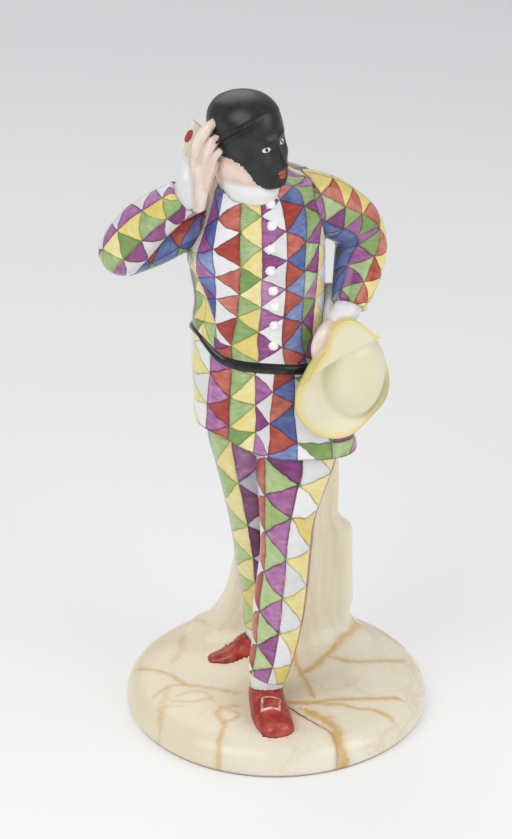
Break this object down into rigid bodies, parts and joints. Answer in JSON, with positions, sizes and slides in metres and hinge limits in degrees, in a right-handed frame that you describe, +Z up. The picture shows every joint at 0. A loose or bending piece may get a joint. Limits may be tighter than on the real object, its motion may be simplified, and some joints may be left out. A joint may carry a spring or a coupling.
{
  "type": "commedia dell'arte porcelain figure",
  "caption": "Porcelain figure of a masked comic actor in a lozenge-patterned suit, hand raised with a card, hat on the hip, on a round base.",
  "frame": {"origin": "middle of the round base's underside, on the surface that the figure stands on", "axes": "+Z up, -Y towards the viewer of the figure's front, +X towards the figure's left, where the hat hangs"},
  "size_m": [0.0712, 0.0672, 0.1494],
  "materials": {
    "enamelled_porcelain": "clear gloss glaze over white porcelain, painted in red, green, yellow, purple, blue and black enamels"
  },
  "bodies": {
    "root": {"harlequin_figure": "enamelled_porcelain"}
  },
  "joints": []
}
